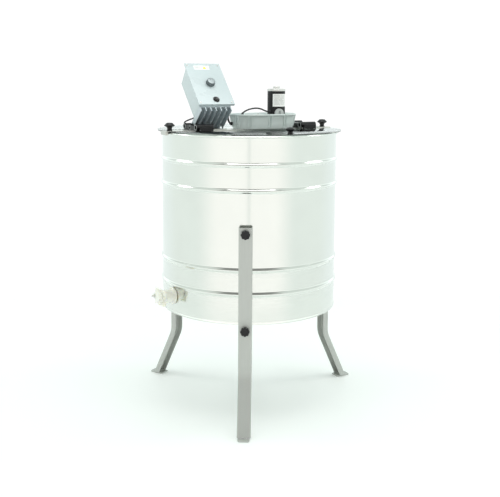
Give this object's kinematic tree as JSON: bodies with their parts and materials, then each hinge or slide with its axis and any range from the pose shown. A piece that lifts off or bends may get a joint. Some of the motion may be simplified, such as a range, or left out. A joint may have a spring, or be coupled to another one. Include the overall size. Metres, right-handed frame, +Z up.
{
  "type": "honey extractor",
  "caption": "Electric tangential honey extractor: polished drum on splayed channel legs, clear hinged lids, crossbar with belt drive, motor and tilted speed controller, plastic honey gate.",
  "frame": {"origin": "on the floor, under the drum's axis, at the centre of the three floor bolts", "axes": "+Z up along the drum's axis; +X along the crossbar towards the motor's end; the control panel faces -Y"},
  "size_m": [0.8374, 0.7936, 1.2293],
  "materials": {
    "drum_steel": "polished stainless sheet",
    "leg_steel": "satin stainless",
    "brushed_steel": "brushed stainless",
    "basket_steel": "satin stainless",
    "bright_steel": "bright zinc",
    "bearing_steel": "turned",
    "pulley_aluminium": "turned",
    "knob_black": "satin moulded",
    "hinge_black": "textured moulded",
    "black_rubber": "matte",
    "cable_black": "satin sheath",
    "clear_acrylic": "clear",
    "cast_grey": "fine-textured paint over a casting",
    "cover_grey": "fine-textured paint",
    "motor_black": "satin paint",
    "motor_alloy": "die cast",
    "motor_iron": "laminated, wound",
    "white_plastic": "moulded",
    "controller_grey": "satin paint",
    "heat_sink_grey": "anodised",
    "board_green": "solder mask",
    "dial_grey": "satin moulded",
    "button_black": "gloss moulded",
    "gate_ivory": "satin moulded"
  },
  "bodies": {
    "stand": {"drum_wall": "drum_steel", "drum_bottom": "drum_steel", "leg_right": "leg_steel", "leg_rear": "leg_steel", "leg_front": "leg_steel", "foot_plates": "leg_steel", "leg_brackets": "leg_steel", "leg_studs": "bright_steel", "leg_knobs": "knob_black", "crossbar": "brushed_steel", "crossbar_pads": "black_rubber", "clamp_blocks": "knob_black", "clamp_bolts": "bright_steel", "clamp_knobs": "knob_black", "hinge_blocks": "hinge_black", "hinge_pins": "bright_steel", "lid_fillers": "clear_acrylic", "top_bearing": "bearing_steel", "bottom_bearing": "bearing_steel", "drive_belt": "black_rubber", "motor_can": "motor_black", "motor_end_cap": "motor_alloy", "motor_terminal_cover": "white_plastic", "drive_housing": "cast_grey", "housing_cover": "cover_grey", "cover_screws": "bright_steel", "motor_cable": "cable_black", "control_cables": "cable_black", "controller_box": "controller_grey", "heat_sink": "heat_sink_grey", "controller_stand": "brushed_steel", "control_panel": "controller_grey", "circuit_board": "board_green", "potentiometer": "bright_steel", "gate_spigot": "gate_ivory", "gate_nut": "gate_ivory", "gate_body": "gate_ivory", "gate_bolts": "bright_steel"},
    "basket": {"basket_shaft": "basket_steel", "basket_bottom_frame": "basket_steel", "basket_top_frame": "basket_steel", "basket_posts": "basket_steel", "screen_right": "basket_steel", "screen_rear": "basket_steel", "screen_left": "basket_steel", "screen_front": "basket_steel", "large_pulley": "pulley_aluminium"},
    "motor_rotor": {"motor_shaft": "bright_steel", "motor_pulley": "pulley_aluminium", "motor_armature": "motor_iron"},
    "front_lid": {"front_lid": "clear_acrylic", "front_lid_leaves": "hinge_black", "front_lid_knob": "knob_black"},
    "rear_lid": {"rear_lid": "clear_acrylic", "rear_lid_leaves": "hinge_black", "rear_lid_knob": "knob_black"},
    "speed_knob": {"speed_knob": "dial_grey"},
    "stop_button": {"stop_button": "button_black"},
    "gate_blade": {"gate_blade": "gate_ivory"},
    "gate_wing_nut": {"gate_wing_nut": "gate_ivory"}
  },
  "joints": [
    {"name": "basket_spin", "type": "hinge", "parent": "stand", "child": "basket", "pos_m": [0, 0, 0.7], "axis": [0, 0, 1], "continuous": true},
    {"name": "motor_spin", "type": "hinge", "parent": "stand", "child": "motor_rotor", "pos_m": [0.112, 0, 1.03], "axis": [0, 0, 1], "continuous": true},
    {"name": "front_lid_hinge", "type": "hinge", "parent": "stand", "child": "front_lid", "pos_m": [0, -0.047, 1.0075], "axis": [-1, 0, 0], "range_deg": [0, 70]},
    {"name": "rear_lid_hinge", "type": "hinge", "parent": "stand", "child": "rear_lid", "pos_m": [0, 0.047, 1.0075], "axis": [1, 0, 0], "range_deg": [0, 60]},
    {"name": "speed_knob_turn", "type": "hinge", "parent": "stand", "child": "speed_knob", "pos_m": [-0.157, -0.00252, 1.16253], "axis": [0, -0.7373, 0.6756], "range_deg": [-135, 135]},
    {"name": "stop_button_press", "type": "slide", "parent": "stand", "child": "stop_button", "axis": [0, 0.7373, -0.6756], "range_m": [0, 0.003], "stiffness_N_per_m": 400},
    {"name": "gate_blade_swing", "type": "hinge", "parent": "stand", "child": "gate_blade", "pos_m": [-0.37216, -0.00295, 0.418], "axis": [-0.9962, -0.0872, 0], "range_deg": [0, 110]},
    {"name": "gate_wing_nut_turn", "type": "hinge", "parent": "stand", "child": "gate_wing_nut", "pos_m": [-0.37399, -0.06233, 0.418], "axis": [-0.9962, -0.0872, 0], "continuous": true}
  ],
  "couplings": [
    {"joint": "motor_spin", "follows": "basket_spin", "ratio": 5}
  ]
}
